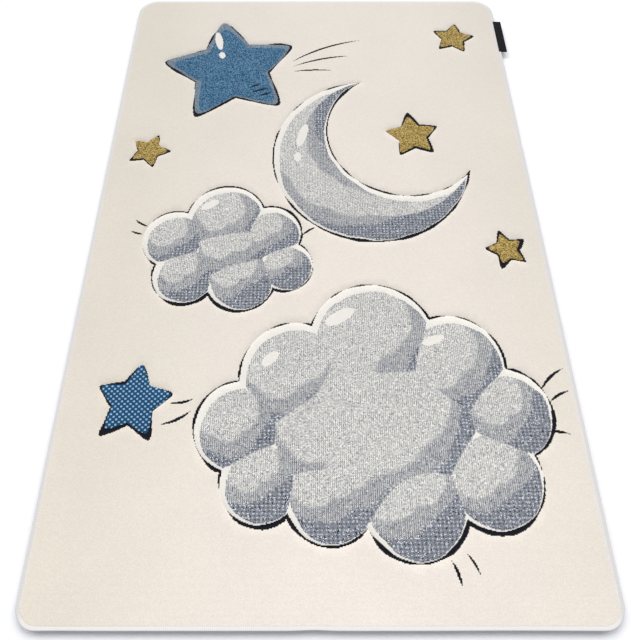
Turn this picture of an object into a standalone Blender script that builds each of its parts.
"""A flat children's rug: woven cut pile, a serged edge and a folded side label.

The rug lies on the floor at z = 0. Its near end points to -Y and its far end to +Y, and the
origin is the centre of its underside. All sizes are in metres.

The pile is carved: a shallow groove runs along the outline of each motif. The motifs are
plain nursery shapes, worked out from discs, two arcs and a star formula.
"""
import math

import bmesh
import bpy
from mathutils.geometry import delaunay_2d_cdt

# The whole rug, measured over the yarn of its edge.
RUG_WIDTH = 1.000
RUG_LENGTH = 1.500
NEAR_CORNER_RADIUS = 0.040
FAR_CORNER_RADIUS = 0.052
CORNER_STEPS = 8
NEAR_EDGE_STEPS = 24

# Heights above the floor.
PILE_TOP = 0.0110
EDGE_TOP = 0.0103
TONGUE_BOTTOM = 0.0030
TONGUE_TOP = 0.0058

# Distances in from the rug's outer edge. The pile rises over a round shoulder, from beside
# the edge yarn to its full height.
EDGE_YARN_WIDTH = 0.0068
TONGUE_END = 0.0025
GAP = 0.0003
PILE_SIDE = EDGE_YARN_WIDTH + GAP
FULL_PILE_START = PILE_SIDE + 0.0040

# The shoulder, from the full pile down to its side. Columns: distance in, height.
PILE_SHOULDER = (
    (FULL_PILE_START, PILE_TOP),
    (0.0085, 0.0108),
    (PILE_SIDE, 0.0101),
)

# The round outside of the edge yarn, from its inner top to its inner bottom.
# Columns: distance in from the outer edge, height.
EDGE_YARN_SECTION = (
    (EDGE_YARN_WIDTH, 0.0099),
    (0.0045, EDGE_TOP),
    (0.0019, 0.0098),
    (0.0004, 0.0082),
    (0.0000, 0.0056),
    (0.0004, 0.0024),
    (0.0016, 0.0006),
    (0.0032, 0.0000),
    (EDGE_YARN_WIDTH, 0.0000),
)

# Where the near edge was cut a little short. The cut is made good by the full pile.
# Columns: place along X, half width, depth.
NEAR_EDGE_DIPS = (
    (-0.010, 0.026, 0.0013),
    (0.310, 0.110, 0.0006),
    (-0.420, 0.040, 0.0004),
)

# The carved groove.
GROOVE_HALF_WIDTH = 0.0034
GROOVE_DEPTH = 0.0018
OUTLINE_STEP = 0.012

# Discs that make up the two clouds, counter-clockwise. Columns: X, Y, radius.
BIG_CLOUD = (
    (0.020, -0.545, 0.085),
    (0.170, -0.560, 0.095),
    (0.315, -0.520, 0.090),
    (0.360, -0.405, 0.085),
    (0.265, -0.315, 0.105),
    (0.110, -0.270, 0.130),
    (-0.045, -0.335, 0.110),
    (-0.150, -0.430, 0.085),
    (-0.105, -0.525, 0.075),
)
SMALL_CLOUD = (
    (-0.285, -0.115, 0.070),
    (-0.165, -0.125, 0.075),
    (-0.070, -0.095, 0.060),
    (-0.105, -0.015, 0.070),
    (-0.205, 0.020, 0.090),
    (-0.315, -0.030, 0.072),
)

# The crescent moon: a disc, and the disc that is cut out of it. Columns: X, Y, radius.
MOON_DISC = (0.130, 0.200, 0.235)
MOON_CUT = (0.215, 0.275, 0.190)

# Five-pointed stars. Columns: X, Y, reach of a point before it is rounded, turn in degrees.
STARS = (
    (-0.225, 0.485, 0.205, 100.0),
    (0.375, 0.600, 0.062, 80.0),
    (0.235, 0.262, 0.075, 96.0),
    (-0.405, 0.215, 0.055, 70.0),
    (-0.355, -0.385, 0.085, 84.0),
    (0.415, -0.055, 0.050, 104.0),
)
STAR_POINTS = 5
STAR_VALLEY_SHARE = 0.50
STAR_ROUNDING_SHARE = 0.068

# The folded label, over the right edge. Its route runs from its sewn end on top of the edge
# yarn straight out to the fold, and back under itself. Columns: distance out, height.
LABEL_THICKNESS = 0.0008
LABEL_NEAR_Y = 0.548
LABEL_FAR_Y = 0.663
LABEL_REACH = 0.0144
LABEL_UPPER_LEAF = (
    (-0.0064, 0.0108),
    (-0.0045, 0.0110),
    (-0.0020, 0.0109),
    (0.0050, 0.0106),
)
LABEL_UPPER_HEIGHT = 0.0104
LABEL_LOWER_HEIGHT = 0.0093
LABEL_LOWER_END = -0.0006
LABEL_FOLD_STEPS = 5

# Colours are linear red, green and blue.
CREAM_PILE = (0.855, 0.799, 0.723)
WHITE_YARN = (0.860, 0.850, 0.830)
BLACK_RIBBON = (0.014, 0.013, 0.016)


def clear_scene():
    """Remove whatever the opened file holds."""
    for item in list(bpy.data.objects):
        bpy.data.objects.remove(item, do_unlink=True)


def make_material(name, colour, roughness):
    """A cloth material of one colour."""
    material = bpy.data.materials.new(name)
    material.use_nodes = True
    shader = material.node_tree.nodes["Principled BSDF"]
    shader.inputs["Base Color"].default_value = (*colour, 1.0)
    shader.inputs["Roughness"].default_value = roughness
    shader.inputs["Metallic"].default_value = 0.0
    return material


def add_object(name, mesh, material):
    """Turn a bmesh into a named object with its faces pointing out."""
    bmesh.ops.recalc_face_normals(mesh, faces=mesh.faces)
    data = bpy.data.meshes.new(name)
    mesh.to_mesh(data)
    mesh.free()
    data.materials.append(material)
    thing = bpy.data.objects.new(name, data)
    bpy.context.scene.collection.objects.link(thing)
    return thing


def near_edge_dip(x, inset):
    """How far the near edge lies in from a straight line at x: most at inset 0."""
    at_the_edge = sum(
        depth * math.exp(-(((x - place) / half_width) ** 2))
        for place, half_width, depth in NEAR_EDGE_DIPS
    )
    return at_the_edge * (1 - inset / FULL_PILE_START)


def rug_outline(inset):
    """The rug's rounded rectangle, drawn inset from its edge, counter-clockwise."""
    corners = (
        (1, -1, NEAR_CORNER_RADIUS, -90),
        (1, 1, FAR_CORNER_RADIUS, 0),
        (-1, 1, FAR_CORNER_RADIUS, 90),
        (-1, -1, NEAR_CORNER_RADIUS, 180),
    )
    points = []
    for side_x, side_y, radius, start in corners:
        centre_x = side_x * (RUG_WIDTH / 2 - radius)
        centre_y = side_y * (RUG_LENGTH / 2 - radius)
        for step in range(CORNER_STEPS + 1):
            angle = math.radians(start + 90 * step / CORNER_STEPS)
            x = centre_x + (radius - inset) * math.cos(angle)
            y = centre_y + (radius - inset) * math.sin(angle)
            points.append((x, y))
    straight = RUG_WIDTH - 2 * NEAR_CORNER_RADIUS
    for step in range(1, NEAR_EDGE_STEPS):
        x = straight * (step / NEAR_EDGE_STEPS - 0.5)
        y = -RUG_LENGTH / 2 + inset + near_edge_dip(x, inset)
        points.append((x, y))
    return points


def disc_crossing(first, second, grow):
    """Where two neighbouring discs cross on the outer side, each grown by grow."""
    x1, y1, r1 = first
    x2, y2, r2 = second
    r1 += grow
    r2 += grow
    apart = math.hypot(x2 - x1, y2 - y1)
    along = (r1**2 - r2**2 + apart**2) / (2 * apart)
    aside = math.sqrt(r1**2 - along**2)
    step_x = (x2 - x1) / apart
    step_y = (y2 - y1) / apart
    return (x1 + along * step_x + aside * step_y, y1 + along * step_y - aside * step_x)


def arc_points(centre_x, centre_y, radius, start, sweep):
    """Points along an arc, without its last one."""
    steps = max(2, round(abs(sweep) * radius / OUTLINE_STEP))
    points = []
    for step in range(steps):
        angle = start + sweep * step / steps
        points.append((centre_x + radius * math.cos(angle), centre_y + radius * math.sin(angle)))
    return points


def cloud_outline(discs, grow):
    """The puffy outline round a ring of overlapping discs, drawn grow outside it."""
    points = []
    for index, disc in enumerate(discs):
        x, y, radius = disc
        following = discs[(index + 1) % len(discs)]
        start_x, start_y = disc_crossing(discs[index - 1], disc, grow)
        end_x, end_y = disc_crossing(disc, following, grow)
        start = math.atan2(start_y - y, start_x - x)
        end = math.atan2(end_y - y, end_x - x)
        points += arc_points(x, y, radius + grow, start, (end - start) % math.tau)
    return points


def moon_outline(grow):
    """The crescent's outline, drawn grow outside it: the long arc, then the cut's arc."""
    x, y, radius = MOON_DISC
    cut_x, cut_y, cut_radius = MOON_CUT
    radius += grow
    cut_radius -= grow
    apart = math.hypot(cut_x - x, cut_y - y)
    towards = math.atan2(cut_y - y, cut_x - x)
    along = (radius**2 - cut_radius**2 + apart**2) / (2 * apart)
    aside = math.sqrt(radius**2 - along**2)
    opening = math.atan2(aside, along)
    cut_opening = math.atan2(aside, along - apart)
    outer = arc_points(x, y, radius, towards + opening, math.tau - 2 * opening)
    inner_sweep = 2 * cut_opening - math.tau
    inner = arc_points(cut_x, cut_y, cut_radius, towards - cut_opening, inner_sweep)
    return outer + inner


def star_outline(star, grow):
    """A star with straight sides and rounded points, drawn grow outside it.

    Each half point is folded onto the same 36 degrees. Its side is the line
    across * x + up * y = distance, and the rounding replaces y by a soft |y|.
    """
    centre_x, centre_y, reach, turn = star
    half = math.pi / STAR_POINTS
    valley_x = STAR_VALLEY_SHARE * reach * math.cos(half)
    valley_y = STAR_VALLEY_SHARE * reach * math.sin(half)
    length = math.hypot(reach - valley_x, valley_y)
    across = valley_y / length
    up = (reach - valley_x) / length
    distance = across * reach + grow
    rounding = STAR_ROUNDING_SHARE * reach
    steps = max(2, round(length / OUTLINE_STEP))
    points = []
    for step in range(2 * steps * STAR_POINTS):
        angle = half * step / steps
        folded = abs((angle + half) % (2 * half) - half)
        a = across * math.cos(folded)
        b = up * math.sin(folded)
        rest = distance**2 - (up * rounding) ** 2
        root = math.sqrt((distance * a) ** 2 - (a**2 - b**2) * rest)
        radius = rest / (distance * a + root)
        angle += math.radians(turn)
        points.append((centre_x + radius * math.cos(angle), centre_y + radius * math.sin(angle)))
    return points


def groove_loops():
    """Every motif's outline three times: the groove's outer rim, its floor, its inner rim."""
    loops = []
    for grow, height in (
        (GROOVE_HALF_WIDTH, PILE_TOP),
        (0.0, PILE_TOP - GROOVE_DEPTH),
        (-GROOVE_HALF_WIDTH, PILE_TOP),
    ):
        loops.append((cloud_outline(BIG_CLOUD, grow), height))
        loops.append((cloud_outline(SMALL_CLOUD, grow), height))
        loops.append((moon_outline(grow), height))
        loops += [(star_outline(star, grow), height) for star in STARS]
    return loops


def fill_carved_top(mesh, rim):
    """Close the pile's top inside its rim, with the grooves sunk into it."""
    points = [vertex.co.xy for vertex in rim]
    heights = [PILE_TOP] * len(rim)
    edges = [(index, (index + 1) % len(rim)) for index in range(len(rim))]
    for loop, height in groove_loops():
        first = len(points)
        points += loop
        heights += [height] * len(loop)
        edges += [(first + i, first + (i + 1) % len(loop)) for i in range(len(loop))]
    inside_only = 1
    merge_distance = 1e-6
    flat, _, triangles, sources, _, _ = delaunay_2d_cdt(
        points, edges, [], inside_only, merge_distance, True
    )
    vertices = []
    for place, source in zip(flat, sources):
        if source and source[0] < len(rim):
            vertices.append(rim[source[0]])
        else:
            height = heights[source[0]] if source else PILE_TOP
            vertices.append(mesh.verts.new((place.x, place.y, height)))
    for triangle in triangles:
        mesh.faces.new([vertices[corner] for corner in triangle])


def join_rows(mesh, row, next_row):
    """Bridge two closed rows of as many vertices with four-sided faces."""
    for index, vertex in enumerate(row):
        after = (index + 1) % len(row)
        mesh.faces.new((vertex, row[after], next_row[after], next_row[index]))


def sweep_round_rug(mesh, profile):
    """Carry a profile of insets and heights round the rug, and return its rows."""
    rows = []
    for inset, height in profile:
        rows.append([mesh.verts.new((x, y, height)) for x, y in rug_outline(inset)])
    for row, next_row in zip(rows, rows[1:]):
        join_rows(mesh, row, next_row)
    return rows


def build_pile_carpet():
    """The woven carpet: full pile inside, and a thin tongue that the edge yarn wraps."""
    tongue = (
        (PILE_SIDE, TONGUE_TOP),
        (TONGUE_END, TONGUE_TOP),
        (TONGUE_END, TONGUE_BOTTOM),
        (PILE_SIDE, TONGUE_BOTTOM),
        (PILE_SIDE, 0.0),
    )
    mesh = bmesh.new()
    rows = sweep_round_rug(mesh, PILE_SHOULDER + tongue)
    fill_carved_top(mesh, rows[0])
    mesh.faces.new(rows[-1])
    material = make_material("cream_cut_pile", CREAM_PILE, 0.95)
    return add_object("pile_carpet", mesh, material)


def build_serged_edge():
    """The band of wound yarn: round outside, flat below, with a slot for the tongue."""
    slot_end = TONGUE_END - GAP
    slot_top = TONGUE_TOP + GAP
    slot_bottom = TONGUE_BOTTOM - GAP
    slot = (
        (EDGE_YARN_WIDTH, slot_bottom),
        (slot_end, slot_bottom),
        (slot_end, slot_top),
        (EDGE_YARN_WIDTH, slot_top),
    )
    mesh = bmesh.new()
    rows = sweep_round_rug(mesh, EDGE_YARN_SECTION + slot)
    join_rows(mesh, rows[-1], rows[0])
    material = make_material("white_edge_yarn", WHITE_YARN, 0.85)
    return add_object("serged_edge", mesh, material)


def label_route():
    """The label's middle line, seen from the near end: upper leaf, fold, lower leaf."""
    fold_radius = (LABEL_UPPER_HEIGHT - LABEL_LOWER_HEIGHT) / 2
    fold_height = (LABEL_UPPER_HEIGHT + LABEL_LOWER_HEIGHT) / 2
    route = list(LABEL_UPPER_LEAF)
    for step in range(LABEL_FOLD_STEPS + 1):
        angle = math.pi * (0.5 - step / LABEL_FOLD_STEPS)
        out = LABEL_REACH + fold_radius * math.cos(angle)
        route.append((out, fold_height + fold_radius * math.sin(angle)))
    route.append((LABEL_LOWER_END, LABEL_LOWER_HEIGHT))
    return route


def build_edge_label():
    """A ribbon folded to a tab: a thin sheet along its route, then given its thickness."""
    mesh = bmesh.new()
    near = [
        mesh.verts.new((RUG_WIDTH / 2 + out, LABEL_NEAR_Y, height))
        for out, height in label_route()
    ]
    edges = [mesh.edges.new(pair) for pair in zip(near, near[1:])]
    sheet = bmesh.ops.extrude_edge_only(mesh, edges=edges)
    far = [item for item in sheet["geom"] if isinstance(item, bmesh.types.BMVert)]
    bmesh.ops.translate(mesh, verts=far, vec=(0, LABEL_FAR_Y - LABEL_NEAR_Y, 0))
    material = make_material("black_woven_ribbon", BLACK_RIBBON, 0.6)
    label = add_object("edge_label", mesh, material)
    wall = label.modifiers.new("ribbon_thickness", "SOLIDIFY")
    wall.thickness = LABEL_THICKNESS
    wall.offset = 0.0
    wall.use_even_offset = True
    return label


def shade(thing, angle_degrees):
    """Smooth the round parts and keep the sharp edges sharp."""
    thing.data.shade_smooth()
    thing.data.set_sharp_from_angle(angle=math.radians(angle_degrees))


def main():
    clear_scene()
    for thing in (build_pile_carpet(), build_serged_edge(), build_edge_label()):
        shade(thing, 40)


main()
